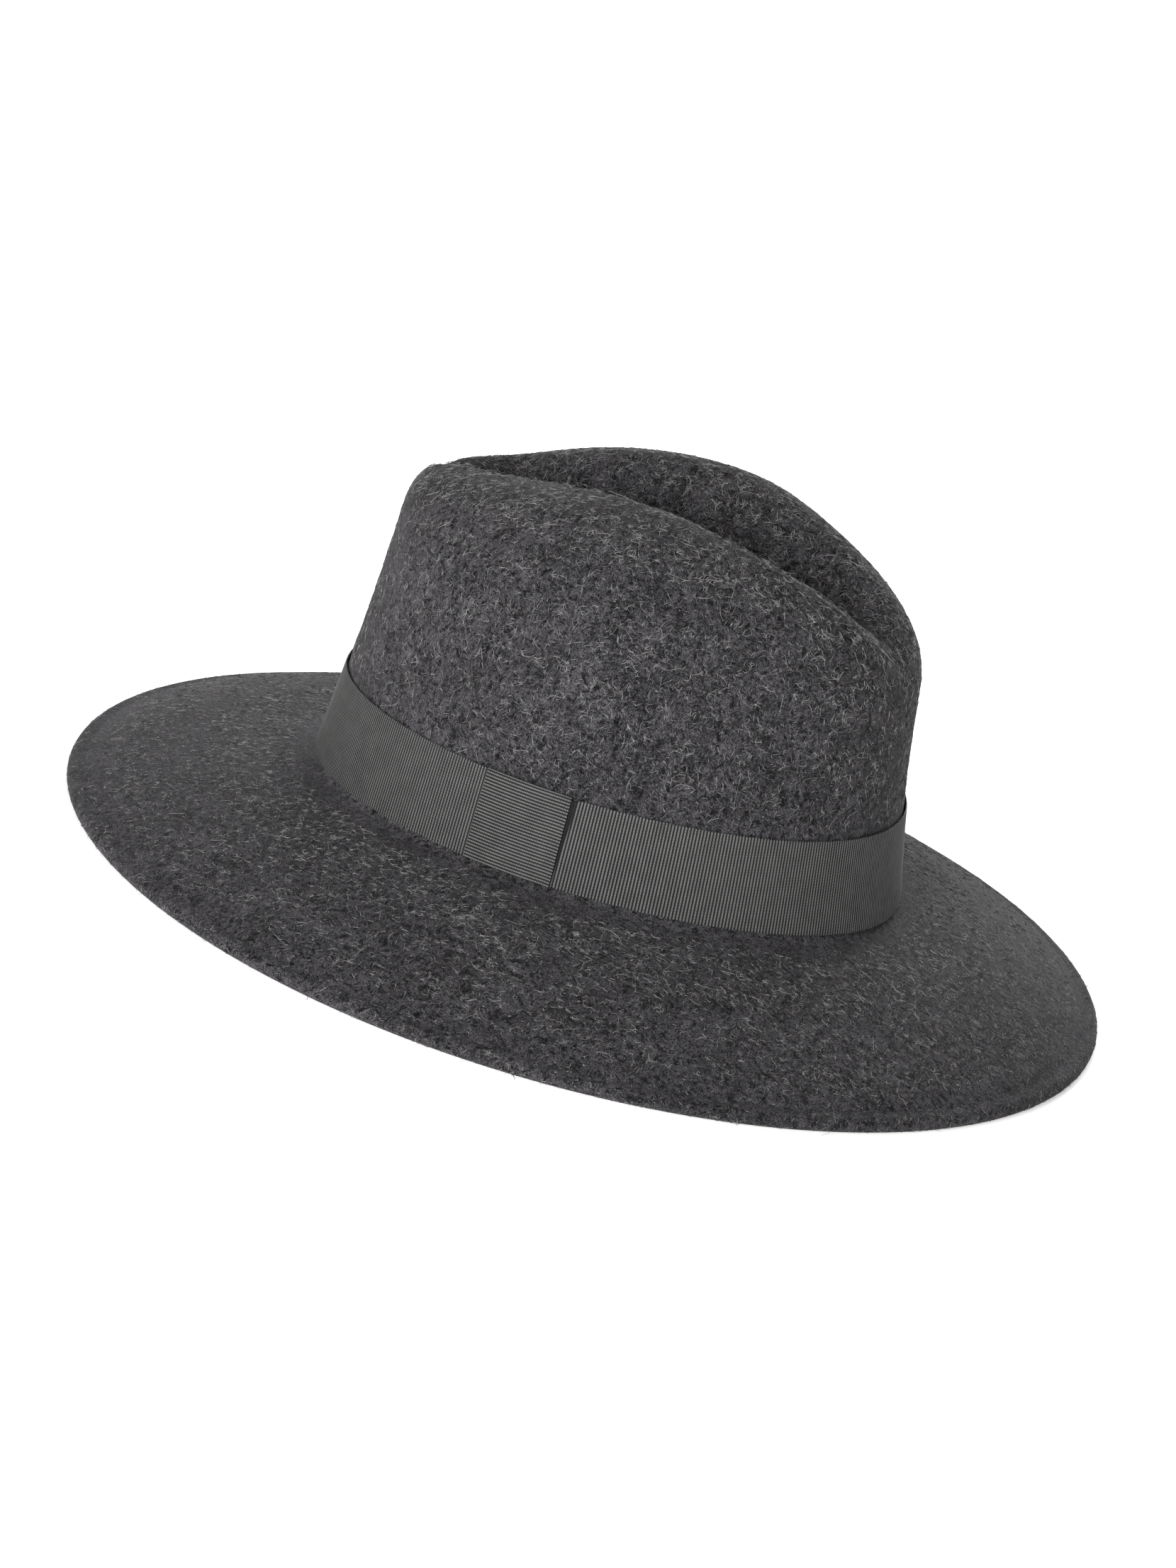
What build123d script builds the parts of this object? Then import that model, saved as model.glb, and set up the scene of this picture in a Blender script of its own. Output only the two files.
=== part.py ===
from build123d import *
import os
import numpy as np

# Wide-brimmed wool felt fedora, millimetres.  The hat stands on its brim edge on z = 0, the front
# of the hat faces -Y and the wearer's right is -X.  The felt is symmetric about the plane x = 0.
# The crown is designed in a frame of its own, whose z = 0 is the break line where crown and brim
# meet; stand() then tips it back and lifts it onto the brim.

# ---------------------------------------------------------------- driving dimensions
BRIM_HALF_LENGTH = 178.9
BRIM_HALF_WIDTH = 165.2
CROWN_SHIFT = 1.9           # the crown oval sits this far ahead of the brim oval
BREAK_HEIGHT = 28.0         # break line above the ground, half way along the hat
BREAK_SADDLE = 1.9          # the break line is higher at the sides, lower front and back
BREAK_RADIUS = 3.5
BREAK_SLOPE = 0.20          # fall per millimetre where the brim leaves the crown
EDGE_SLOPE = 0.50           # and at the brim edge
CROWN_TIP = np.radians(1.46)  # the crown leans back by this much

FELT = 2.6
CROWN_HALF_LENGTH = 101.5   # outside of the felt at the break line
CROWN_HALF_WIDTH = 85.5
FRONT_LEAN = (0.222, 0.0012)    # the wall draws in by a * z - b * z * z
BACK_LEAN = (0.163, 0.0005)
SIDE_LEAN = (0.10, -0.0007)

# The crown's top, at stations along y from front to back.
STATIONS = (-105, -75, -45, -15, 15, 45, 75, 105)
RIDGE_HEIGHT = (88.5, 99.5, 110.0, 115.4, 114.8, 109.4, 103.3, 96.5)
RIDGE_OFFSET = (10.0, 19.0, 26.5, 28.6, 26.5, 21.0, 14.0, 11.0)
CREASE_DEPTH = (0.0, 7.0, 20.0, 25.0, 24.0, 17.0, 8.0, 0.0)
SHOULDER = (21.0, 26.0, 31.0, 34.0, 31.0, 23.0, 13.5, 9.5)
SHOULDER_FALL = 0.0075
PINCH_DEPTH, PINCH_Y, PINCH_Z = 6.0, -60.0, 78.0
PINCH_LENGTH, PINCH_TALL = 24.0, 34.0

CORE_HALF, CORE_HEIGHT = 62.0, 45.0     # the line inside the crown that its surface is seen from

BEAD = 2.6                  # outer radius of the rolled edge
CHANNEL = 0.95              # radius of the wire's channel inside the roll
EDGE_TOP = 2.0              # the brim's top, above the middle of the roll
SLIT = 0.25                 # half the slit between the brim and the turned-under felt
LIP_REACH = 6.9             # how far the turned-under felt reaches in
LIP_FELT = 1.7

RIBBON, RIBBON_GAP = 0.45, 0.6
RIBBON_FOOT, RIBBON_WIDTH = 2.2, 30.0   # height above the break line, and the ribbon's width
KEEPER_WIDTH = 30.0
KEEPER_MIDDLE = -3.4                    # the keeper and the join under it, a little ahead of the middle
JOIN_GAP = 1.2                          # between the two ends of the ribbon and of the sweatband

WIRE_RADIUS = 0.6
SLEEVE_LENGTH = 22.0
EDGE_STITCHES = 90
RIBBON_TACKS = 12

SWEAT_GAP, SWEAT = 0.7, 1.0             # sweatband clear of the felt, and its thickness
SWEAT_FOOT, SWEAT_WIDTH = 3.5, 33.0
REED_RADIUS, TAPE_RADIUS = 0.75, 1.2
REED_INSET, REED_HEIGHT = 4.0, 2.1
SWEAT_STITCHES = 72


# ---------------------------------------------------------------- shape functions
def natural_spline(stations, values):
    """A smooth curve through values at stations, held level past both ends."""
    s, v = np.asarray(stations, float), np.asarray(values, float)
    n, h = len(s), np.diff(s)
    rows, right = np.eye(n), np.zeros(n)
    for i in range(1, n - 1):
        rows[i, i - 1 : i + 2] = h[i - 1], 2 * (h[i - 1] + h[i]), h[i]
        right[i] = 6 * ((v[i + 1] - v[i]) / h[i] - (v[i] - v[i - 1]) / h[i - 1])
    bend = np.linalg.solve(rows, right)

    def curve(x):
        x = np.clip(x, s[0], s[-1])
        i = np.clip(np.searchsorted(s, x) - 1, 0, n - 2)
        a, b, w = s[i + 1] - x, x - s[i], h[i]
        cubic = (bend[i] * a**3 + bend[i + 1] * b**3) / (6 * w)
        return cubic + (v[i] / w - bend[i] * w / 6) * a + (v[i + 1] / w - bend[i + 1] * w / 6) * b

    return curve


ridge_height = natural_spline(STATIONS, RIDGE_HEIGHT)
ridge_offset = natural_spline(STATIONS, RIDGE_OFFSET)
crease_depth = natural_spline(STATIONS, CREASE_DEPTH)
shoulder_size = natural_spline(STATIONS, SHOULDER)


def crown_field(p):
    """Below zero inside the crown, zero on the outside of its felt, about a distance near it."""
    x, y, z = p[..., 0], p[..., 1], np.clip(p[..., 2], -10, 125)
    front = CROWN_HALF_LENGTH - FRONT_LEAN[0] * z + FRONT_LEAN[1] * z * z
    back = CROWN_HALF_LENGTH - BACK_LEAN[0] * z + BACK_LEAN[1] * z * z
    half_length = np.where(y < 0, front, back)
    pinch = np.exp(-(((y - PINCH_Y) / PINCH_LENGTH) ** 2) - ((z - PINCH_Z) / PINCH_TALL) ** 2)
    half_width = CROWN_HALF_WIDTH - SIDE_LEAN[0] * z + SIDE_LEAN[1] * z * z - PINCH_DEPTH * pinch
    around = np.arctan2(x / half_width, y / half_length)
    reach = np.hypot(x / half_width, y / half_length)
    wall = (reach - 1) * np.hypot(half_length * np.cos(around), half_width * np.sin(around))
    offset = ridge_offset(y)
    across = np.minimum(np.abs(x) / offset, 1)
    crease = crease_depth(y) * (1 + np.cos(np.pi * across)) / 2
    fall = SHOULDER_FALL * np.maximum(np.abs(x) - offset, 0) ** 2
    top = p[..., 2] - (ridge_height(y) - crease - fall)
    size = shoulder_size(y)
    near = np.maximum(size - np.abs(wall - top), 0) / size
    return np.maximum(wall, top) + near * near * size / 4


def cast(start, way):
    """Where rays from inside the crown meet the outside of its felt."""
    low, high = np.full(start.shape[:-1], 5.0), np.full(start.shape[:-1], 150.0)
    for _ in range(44):
        middle = (low + high) / 2
        outside = crown_field(start + way * middle[..., None]) > 0
        high, low = np.where(outside, middle, high), np.where(outside, low, middle)
    return start + way * low[..., None]


def crown_normal(p):
    """Outward normals of the crown's felt."""
    step = 0.05
    parts = [crown_field(p + step * axis) - crown_field(p - step * axis) for axis in np.eye(3)]
    n = np.stack(parts, -1)
    n[..., 0] = np.where(np.abs(p[..., 0]) < 1e-9, 0, n[..., 0])
    return n / np.linalg.norm(n, axis=-1, keepdims=True)


def saddle(turn):
    return -BREAK_SADDLE * np.cos(2 * turn)


def wall_point(turn, z):
    """The outside of the felt at a turn from the front, z above the break line."""
    turn, z = np.broadcast_arrays(turn, z)
    lifted = z + saddle(turn) * np.clip(1 - z / 60, 0, 1)
    zero = np.zeros(turn.shape)
    start = np.stack([zero, -CORE_HALF * (1 - 2 * turn / np.pi), lifted], -1)
    way = np.stack([np.sin(turn), -np.cos(turn), zero], -1)
    way[..., 0] = np.where(np.abs(way[..., 0]) < 1e-12, 0, way[..., 0])
    return cast(start, way)


def crown_point(turn, rise):
    """The outside of the felt seen from the core at a turn and a rise from level to straight up."""
    turn, rise = np.broadcast_arrays(turn, rise)
    zero = np.zeros(turn.shape)
    start = np.stack([zero, -CORE_HALF * (1 - 2 * turn / np.pi), zero + CORE_HEIGHT], -1)
    level = np.cos(rise)
    way = np.stack([level * np.sin(turn), -level * np.cos(turn), np.sin(rise)], -1)
    way[..., 0] = np.where(np.abs(way[..., 0]) < 1e-12, 0, way[..., 0])
    return cast(start, way)


def stand(p):
    """From the crown's own frame to the standing hat."""
    x, y, z = p[..., 0], p[..., 1], p[..., 2]
    c, s = np.cos(CROWN_TIP), np.sin(CROWN_TIP)
    return np.stack([x, y * c + z * s - CROWN_SHIFT, z * c - y * s + BREAK_HEIGHT], -1)


def edge_frame(turn):
    """The middle of the rolled edge, and its outward and upward directions in the brim's slope."""
    flat = np.stack([np.sin(turn) / BRIM_HALF_WIDTH, -np.cos(turn) / BRIM_HALF_LENGTH], -1)
    flat /= np.linalg.norm(flat, axis=-1, keepdims=True)
    flat[..., 0] = np.where(np.abs(flat[..., 0]) < 1e-12, 0, flat[..., 0])
    x = BRIM_HALF_WIDTH * np.sin(turn) - BEAD * flat[..., 0]
    y = -BRIM_HALF_LENGTH * np.cos(turn) - BEAD * flat[..., 1]
    middle = np.stack([np.where(np.abs(x) < 1e-9, 0, x), y, np.full(x.shape, BEAD)], -1)
    slope = np.arctan(EDGE_SLOPE)
    c, s = np.full(x.shape, np.cos(slope)), np.full(x.shape, np.sin(slope))
    out = np.stack([flat[..., 0] * c, flat[..., 1] * c, -s], -1)
    up = np.stack([flat[..., 0] * s, flat[..., 1] * s, c], -1)
    return middle, out, up


def edge_points(turn, outline):
    """Points of an outline (out, up) about the rolled edge, at every turn."""
    middle, out, up = edge_frame(turn)
    return np.stack([middle + a * out + b * up for a, b in outline])


def arc(radius, start, end, count, centre=(0, 0)):
    turns = np.radians(np.linspace(start, end, count))
    return [(centre[0] + radius * np.cos(t), centre[1] + radius * np.sin(t)) for t in turns]


# ---------------------------------------------------------------- solids from rows of points
def row_edge(row):
    """A smooth edge through half a row, square to the plane of symmetry at both its ends."""
    steps = np.linspace(0, 1, len(row))

    def pace(near, far):
        """How fast the row leaves x = 0, from its first two points off it."""
        return (8 * near[0] - far[0]) / (6 * steps[1])

    ends = [(pace(row[1], row[2]), 0, 0), (-pace(row[-2], row[-3]), 0, 0)]
    return Edge.make_spline(row.tolist(), tangents=ends, parameters=steps.tolist(), scale=False)


def skin(rows, closed):
    """A solid from half rows round its section, with their mirror images."""
    edges = [row_edge(row) for row in rows]
    following = edges[1:] + edges[:1] if closed else edges[1:]
    half = [Face.make_surface_from_curves(a, b) for a, b in zip(edges, following)]
    faces = half + [face.mirror(Plane.YZ) for face in half]
    if not closed:
        for edge in (edges[0], edges[-1]):
            faces.append(Face.make_surface_from_curves(edge, edge.mirror(Plane.YZ)))
    return Solid(Shell(faces))


HALF_TURN = np.linspace(0, np.pi, 19)


def wall_offset(turn, away, z):
    """A point beside the crown wall: away from the felt's outside, z above the break line."""
    p = wall_point(turn, z)
    n = crown_normal(p)
    n[..., 2] = 0
    return stand(p + away * n / np.linalg.norm(n, axis=-1, keepdims=True))


def wall_ring(section):
    """A ring along the crown wall with a section of (away, z) corners."""
    return skin([wall_offset(HALF_TURN, away, z) for away, z in section], True)


def band_section(inside, outside, foot, top, levels=4):
    """A flat band's section, with corners enough to follow the wall's curve."""
    heights = np.linspace(foot, top, levels)
    return [(outside, z) for z in heights] + [(inside, z) for z in heights[::-1]]


def round_section(radius, centre, sides=12):
    return arc(radius, 0, 360 * (1 - 1 / sides), sides, centre)


def slab(x, y, z=200.0):
    """A block from the ground up between x and y limits."""
    block = Box(x[1] - x[0], y[1] - y[0], z)
    return Pos((x[0] + x[1]) / 2, (y[0] + y[1]) / 2, z / 2 - 10) * block


def pin(start, end, radius):
    """A stitch as a straight round bar."""
    a, b = Vector(*start), Vector(*end)
    return Solid.make_cylinder(radius, (b - a).length, Plane(a, z_dir=b - a))


# ---------------------------------------------------------------- felt
def brim_top(turn, count=6):
    """Rows of the brim's top from the crown wall out to the rolled edge, and the edge's turns."""
    wall = stand(wall_point(turn, 0.0))
    oval = np.arctan2(wall[:, 0] / CROWN_HALF_WIDTH, -wall[:, 1] / CROWN_HALF_LENGTH)
    end = edge_points(oval, [(-9.0, EDGE_TOP)])[0]
    run = np.linalg.norm((end - wall)[:, :2], axis=1)
    drop = end[:, 2] - wall[:, 2]

    def at(t):
        start_slope, end_slope = -BREAK_SLOPE * run, -EDGE_SLOPE * run
        bend = (t**3 - 2 * t**2 + t) * start_slope + (t**3 - t**2) * end_slope
        z = wall[:, 2] + (3 * t**2 - 2 * t**3) * drop + bend
        return np.stack([*(wall + (end - wall) * t[:, None])[:, :2].T, z], -1)

    first = BREAK_RADIUS / run
    touch, ahead = at(first), at(first + 1e-3)
    corner = touch - (ahead - touch) * (first / 1e-3)[:, None]
    high = stand(wall_point(turn, BREAK_RADIUS))
    rows = []
    for s in (0.25, 0.5, 0.75):
        rows.append(high * (1 - s) ** 2 + corner * 2 * s * (1 - s) + touch * s * s)
    for s in np.linspace(0, 1, count):
        rows.append(at(first + (1 - first) * s))
    return np.stack(rows), oval


def grid_normals(rows):
    """Upward normals of rows that go outward, each with its points from front to back."""
    out = np.gradient(rows, axis=0)
    along = np.gradient(rows, axis=1)
    along[:, 0] = 1, 0, 0
    along[:, -1] = -1, 0, 0
    n = np.cross(out, along)
    n[:, (0, -1), 0] = 0
    n /= np.linalg.norm(n, axis=-1, keepdims=True)
    return n * np.sign(n[..., 2:3].mean())


def edge_outline():
    """The rolled edge from the brim's top round to its underside, as (out, up) points."""
    bead = [(-3.4, EDGE_TOP - 0.25), (-2.2, EDGE_TOP)] + arc(BEAD, 112, -112, 9)
    lip_middle = -SLIT - LIP_FELT / 2
    lip = [(-2.6, lip_middle - LIP_FELT / 2 - 0.1)]
    lip += arc(LIP_FELT / 2, 270, 90, 5, (-LIP_REACH, lip_middle)) + [(-2.6, -SLIT)]
    side = np.degrees(np.arcsin(SLIT / CHANNEL))
    channel = arc(CHANNEL, -180 + side, 180 - side, 9)
    return bead + lip + channel + [(-2.6, SLIT), (-6.9, SLIT)]


def felt_body():
    """Crown and brim in one blocked body, its edge turned under round the wire's channel."""
    rises = np.radians([87, 82, 76, 70, 64, 58, 52, 46, 40, 33, 26, 18, 9, 0])
    heights = np.linspace(CORE_HEIGHT, BREAK_RADIUS, 4)[1:]
    crown = [crown_point(HALF_TURN, r) for r in rises]
    crown = np.stack(crown + [wall_point(HALF_TURN, z) for z in heights])
    inner_crown = crown - FELT * crown_normal(crown)
    top, oval = brim_top(HALF_TURN)
    normals = grid_normals(np.concatenate([stand(crown[-2:]), top]))[2:]
    thickness = np.full(len(top), FELT)
    thickness[-2:] = FELT - 0.3, EDGE_TOP - SLIT
    under = top - thickness[:, None, None] * normals
    edge = edge_points(oval, edge_outline())
    rows = [stand(crown), top, edge, under[::-1], stand(inner_crown)[::-1]]
    return skin(np.concatenate(rows), False)


# ---------------------------------------------------------------- brim edge
def brim_wire():
    """Spring wire in the rolled edge, its ends meeting at the back."""
    ring = skin(edge_points(HALF_TURN, round_section(WIRE_RADIUS, (0, 0))), True)
    return ring - slab((-JOIN_GAP / 2, JOIN_GAP / 2), (0, 2 * BRIM_HALF_LENGTH))


def wire_sleeve():
    """A crimped ferrule over the wire's two ends."""
    outline = arc(CHANNEL - 0.07, 20, 340, 13) + arc(WIRE_RADIUS + 0.04, 340, 20, 13)
    ring = skin(edge_points(HALF_TURN, outline), True)
    return ring & slab((-SLEEVE_LENGTH / 2, SLEEVE_LENGTH / 2), (0, 2 * BRIM_HALF_LENGTH))


def edge_stitches():
    """Slanted stitches that fell the turned-under felt to the brim's underside."""
    turns = (np.arange(EDGE_STITCHES) + 0.5) * 2 * np.pi / EDGE_STITCHES
    lean = 0.35 * np.pi / EDGE_STITCHES
    lip = edge_points(turns - lean, [(1 - LIP_REACH, -SLIT - LIP_FELT + 0.15)])[0]
    brim = edge_points(turns + lean, [(-LIP_REACH - 2.2, SLIT + 0.2)])[0]
    return Compound([pin(a, b, 0.2) for a, b in zip(lip, brim)])


# ---------------------------------------------------------------- ribbon
RIBBON_TOP = RIBBON_FOOT + RIBBON_WIDTH
KEEPER_SIDE = ((-200, 0), (KEEPER_MIDDLE - KEEPER_WIDTH / 2, KEEPER_MIDDLE + KEEPER_WIDTH / 2))


def ribbon_band():
    """Grosgrain ribbon round the crown, its two ends meeting under the keeper."""
    outside = RIBBON_GAP + RIBBON
    ring = wall_ring(band_section(RIBBON_GAP, outside, RIBBON_FOOT, RIBBON_TOP))
    return ring - slab((-200, 0), (KEEPER_MIDDLE - JOIN_GAP / 2, KEEPER_MIDDLE + JOIN_GAP / 2))


def ribbon_keeper():
    """A strip of the same ribbon folded over the top of the band and down behind it."""
    front = RIBBON_GAP + RIBBON + 0.12
    face = front + RIBBON
    low, high = RIBBON_FOOT - 0.55, RIBBON_TOP + 0.1
    heights = np.linspace(high, RIBBON_FOOT - 0.12, 5)
    outer = [(face, z) for z in np.linspace(low, high + 0.2, 5)]
    fold = [(front, high + RIBBON), (0.3, high + RIBBON)]
    back = [(0.1, z) for z in heights[:-1]] + [(0.5, z) for z in heights[-2::-1]]
    inner = [(front, z) for z in heights] + [(0.75, RIBBON_FOOT - 0.12), (0.75, low)]
    return wall_ring(outer + fold + back + inner) & slab(*KEEPER_SIDE)


def ribbon_stitches():
    """Blind tacks along both edges of the ribbon."""
    pins = []
    for z in (RIBBON_FOOT + 1.0, RIBBON_TOP - 1.0):
        turns = (np.arange(RIBBON_TACKS) + 0.5) * np.pi / RIBBON_TACKS
        turns = turns[np.abs(turns - np.pi / 2) > 0.3]
        start = wall_offset(turns, RIBBON_GAP + RIBBON + 0.12, z)
        end = wall_offset(turns, -1.2, z)
        for side in (-1, 1):
            mirror = np.array([side, 1, 1])
            pins += [pin(a * mirror, b * mirror, 0.18) for a, b in zip(start, end)]
    return Compound(pins)


# ---------------------------------------------------------------- sweatband
SWEAT_OUT = -FELT - SWEAT_GAP
SWEAT_IN = SWEAT_OUT - SWEAT
SWEAT_TOP = SWEAT_FOOT + SWEAT_WIDTH


def sweatband():
    """A leather band inside the crown, open at the back seam."""
    ring = wall_ring(band_section(SWEAT_IN, SWEAT_OUT, SWEAT_FOOT, SWEAT_TOP))
    return ring - slab((-JOIN_GAP / 2, JOIN_GAP / 2), (0, 200))


def sweatband_reed():
    """The plastic reed along the sweatband's lower edge."""
    return wall_ring(round_section(REED_RADIUS, (-REED_INSET, REED_HEIGHT)))


def reed_tape():
    """Cloth tape folded round the reed, open along its top."""
    centre = (-REED_INSET, REED_HEIGHT)
    outline = arc(TAPE_RADIUS, 70, -250, 13, centre)
    return wall_ring(outline + arc(REED_RADIUS + 0.08, -250, 70, 13, centre))


def seam_tape():
    """A strip that covers the sweatband's back seam."""
    section = band_section(SWEAT_IN - 0.5, SWEAT_IN - 0.1, SWEAT_FOOT + 1, SWEAT_TOP - 1)
    return wall_ring(section) & slab((-6, 6), (0, 200))


def size_label():
    """A blank woven label on the inside of the sweatband, to the wearer's left of the seam."""
    section = band_section(SWEAT_IN - 0.45, SWEAT_IN - 0.1, SWEAT_FOOT + 9, SWEAT_TOP - 6)
    return wall_ring(section) & slab((12, 44), (0, 200))


def sweatband_bow():
    """A narrow ribbon tied in a flat bow over the back seam: two loops, two tails and a knot."""
    loop = Ellipse(6.5, 2.6) - Ellipse(6.0, 2.1)
    loop = extrude(Pos(6.2, 0) * loop, 2, both=True)
    tail = extrude(Pos(4.5, -4.5) * Rot(0, 0, -48) * Rectangle(11, 0.5), 2, both=True)
    knot = extrude(RectangleRounded(3.4, 4.2, 1.4), 2.4, both=True)
    side = loop + tail
    bow = side + side.mirror(Plane.YZ) + knot
    back = wall_offset(np.array([np.pi]), SWEAT_IN - 0.6, SWEAT_FOOT + 9)[0]
    return Pos(0, back[1] - 3.3, back[2]) * bow


def sweatband_stitches():
    """The seam that holds the sweatband's lower edge to the felt."""
    turns = (np.arange(SWEAT_STITCHES // 2) + 0.5) * 2 * np.pi / SWEAT_STITCHES
    start = wall_offset(turns, SWEAT_IN - 0.05, SWEAT_FOOT + 1.2)
    end = wall_offset(turns, -1.2, SWEAT_FOOT + 1.2)
    pins = []
    for side in (-1, 1):
        mirror = np.array([side, 1, 1])
        pins += [pin(a * mirror, b * mirror, 0.18) for a, b in zip(start, end)]
    return Compound(pins)


# ---------------------------------------------------------------- parts
PARTS = {
    "felt_body": felt_body,
    "brim_wire": brim_wire,
    "brim_wire_sleeve": wire_sleeve,
    "brim_edge_stitches": edge_stitches,
    "ribbon_band": ribbon_band,
    "ribbon_keeper": ribbon_keeper,
    "ribbon_tack_stitches": ribbon_stitches,
    "sweatband": sweatband,
    "sweatband_reed": sweatband_reed,
    "sweatband_reed_tape": reed_tape,
    "sweatband_seam_tape": seam_tape,
    "sweatband_bow": sweatband_bow,
    "sweatband_stitches": sweatband_stitches,
    "size_label": size_label,
}

os.makedirs("parts", exist_ok=True)
for name, make in PARTS.items():
    export_step(make(), f"parts/{name}.step")
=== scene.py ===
"""Looks of a wool felt fedora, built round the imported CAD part.

Lengths are millimetres until a mesh is made from them, and metres for the camera, lamps and floor.
The hat stands on its brim, +Z up, its front at -Y and the wearer's right at -X, as in the CAD part.
"""

import math

import bmesh
import bpy
import numpy as np
from mathutils import Matrix, Vector
from mathutils.bvhtree import BVHTree


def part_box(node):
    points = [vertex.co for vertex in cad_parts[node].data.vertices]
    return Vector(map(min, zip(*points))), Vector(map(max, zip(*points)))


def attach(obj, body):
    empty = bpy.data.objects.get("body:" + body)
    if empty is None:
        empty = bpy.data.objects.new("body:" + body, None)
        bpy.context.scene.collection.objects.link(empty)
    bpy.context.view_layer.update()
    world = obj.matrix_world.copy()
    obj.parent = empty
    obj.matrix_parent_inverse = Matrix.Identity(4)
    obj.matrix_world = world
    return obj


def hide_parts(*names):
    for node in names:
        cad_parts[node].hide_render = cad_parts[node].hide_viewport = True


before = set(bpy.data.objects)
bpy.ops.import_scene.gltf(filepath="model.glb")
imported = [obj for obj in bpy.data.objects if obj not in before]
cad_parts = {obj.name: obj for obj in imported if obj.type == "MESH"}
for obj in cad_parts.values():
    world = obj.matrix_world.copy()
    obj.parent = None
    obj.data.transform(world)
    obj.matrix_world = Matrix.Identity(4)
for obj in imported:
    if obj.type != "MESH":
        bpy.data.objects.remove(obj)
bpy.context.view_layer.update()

MM = 0.001

# ---------------- the CAD part's own measures
CROWN_TIP = math.radians(1.46)      # the crown leans back by this much on the brim
CROWN_SHIFT = 1.9                   # and its oval sits this far ahead of the brim's
BREAK_HEIGHT = 28.0                 # the line where crown and brim meet, above the ground
BREAK_SADDLE = 1.9                  # that line is higher at the sides, lower front and back
SADDLE_FADES = 60.0                 # and rings this far above it are level
BREAK_RADIUS = 3.5
CORE_HALF, CORE_HEIGHT = 62.0, 45.0  # the line inside the crown that its surface is seen from
FELT = 2.6
BEAD, CHANNEL, EDGE_TOP, EDGE_SLOPE = 2.6, 0.95, 2.0, 0.50
SLIT, LIP_REACH, LIP_FELT = 0.25, 6.9, 1.7
EDGE_START = 9.0                    # how far in from the roll's middle the brim's top ends
CROWN_RISES = (90, 87, 82, 76, 70, 64, 58, 52, 46, 40, 33, 26, 18, 9, 0)
WALL_LEVELS = 4
BRIM_LEVELS = 6

PROBE_TURNS = np.linspace(0, math.pi, 37)
CLEAR_OF_SEAM = 0.035               # radians, to miss the open seam at the back
PAST = 3                            # probed columns repeated past the middle plane
FAR = 400.0                         # rays start this far out


# ---------------- curves and probes
def natural_spline(knots, values):
    """A smooth curve through values, which may be arrays, at rising knots."""
    s, v = np.asarray(knots, float), np.asarray(values, float)
    n, h = len(s), np.diff(s)
    rows, right = np.eye(n), np.zeros(v.shape)
    for i in range(1, n - 1):
        rows[i, i - 1 : i + 2] = h[i - 1], 2 * (h[i - 1] + h[i]), h[i]
        right[i] = 6 * ((v[i + 1] - v[i]) / h[i] - (v[i] - v[i - 1]) / h[i - 1])
    bend = np.linalg.solve(rows, right.reshape(n, -1)).reshape(v.shape)

    def curve(x):
        x = np.asarray(x, float)
        i = np.clip(np.searchsorted(s, x) - 1, 0, n - 2)
        shape = x.shape + (1,) * (v.ndim - 1)
        a, b, w = (q.reshape(shape) for q in (s[i + 1] - x, x - s[i], h[i]))
        cubic = (bend[i] * a**3 + bend[i + 1] * b**3) / (6 * w)
        return cubic + (v[i] / w - bend[i] * w / 6) * a + (v[i + 1] / w - bend[i + 1] * w / 6) * b

    return curve


def travel(rows):
    """How far each row lies along the section, on average over the columns."""
    steps = np.linalg.norm(np.diff(rows, axis=0), axis=-1).mean(axis=1)
    return np.concatenate([[0], np.cumsum(steps)])


def stand(p):
    """From the crown's own frame to the standing hat."""
    x, y, z = p[..., 0], p[..., 1], p[..., 2]
    c, s = math.cos(CROWN_TIP), math.sin(CROWN_TIP)
    return np.stack([x, y * c + z * s - CROWN_SHIFT, z * c - y * s + BREAK_HEIGHT], -1)


def turned(way):
    """A direction from the crown's own frame to the standing hat's."""
    return stand(way) - stand(np.zeros_like(way))


class Surface:
    """A CAD node's skin, met by rays."""

    def __init__(self, node):
        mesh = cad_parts[node].data
        corners = [v.co for v in mesh.vertices]
        self.tree = BVHTree.FromPolygons(corners, [p.vertices for p in mesh.polygons])

    def meet(self, starts, ways):
        """Where each ray meets the skin."""
        found = []
        for start, way in zip(starts.reshape(-1, 3), ways.reshape(-1, 3)):
            place = self.tree.ray_cast(Vector(start) * MM, Vector(way))[0]
            found.append(np.full(3, np.nan) if place is None else np.array(place) / MM)
        return np.array(found).reshape(starts.shape)

    def crown_row(self, rise):
        """The crown's outside seen from its core at one rise, for each probing turn."""
        level, up = math.cos(rise), math.sin(rise)
        t = PROBE_TURNS
        zero = np.zeros_like(t)
        start = np.stack([zero, -CORE_HALF * (1 - 2 * t / math.pi), zero + CORE_HEIGHT], -1)
        way = np.stack([level * np.sin(t), -level * np.cos(t), zero + up], -1)
        return self.meet(stand(start + FAR * way), -turned(way))

    def wall_row(self, z, inside=False, turns=PROBE_TURNS):
        """The ring round the crown, z above the break line, met from outside or from inside."""
        lifted = z - BREAK_SADDLE * np.cos(2 * turns) * np.clip(1 - z / SADDLE_FADES, 0, 1)
        start = np.stack([0 * turns, -CORE_HALF * (1 - 2 * turns / math.pi), lifted], -1)
        way = np.stack([np.sin(turns), -np.cos(turns), 0 * turns], -1)
        if inside:
            return self.meet(stand(start), turned(way))
        return self.meet(stand(start + FAR * way), -turned(way))

    def drop(self, places):
        """The first height met from above at each place."""
        high = places.copy()
        high[..., 2] = FAR
        down = np.zeros_like(high)
        down[..., 2] = -1
        return self.meet(high, down)


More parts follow.
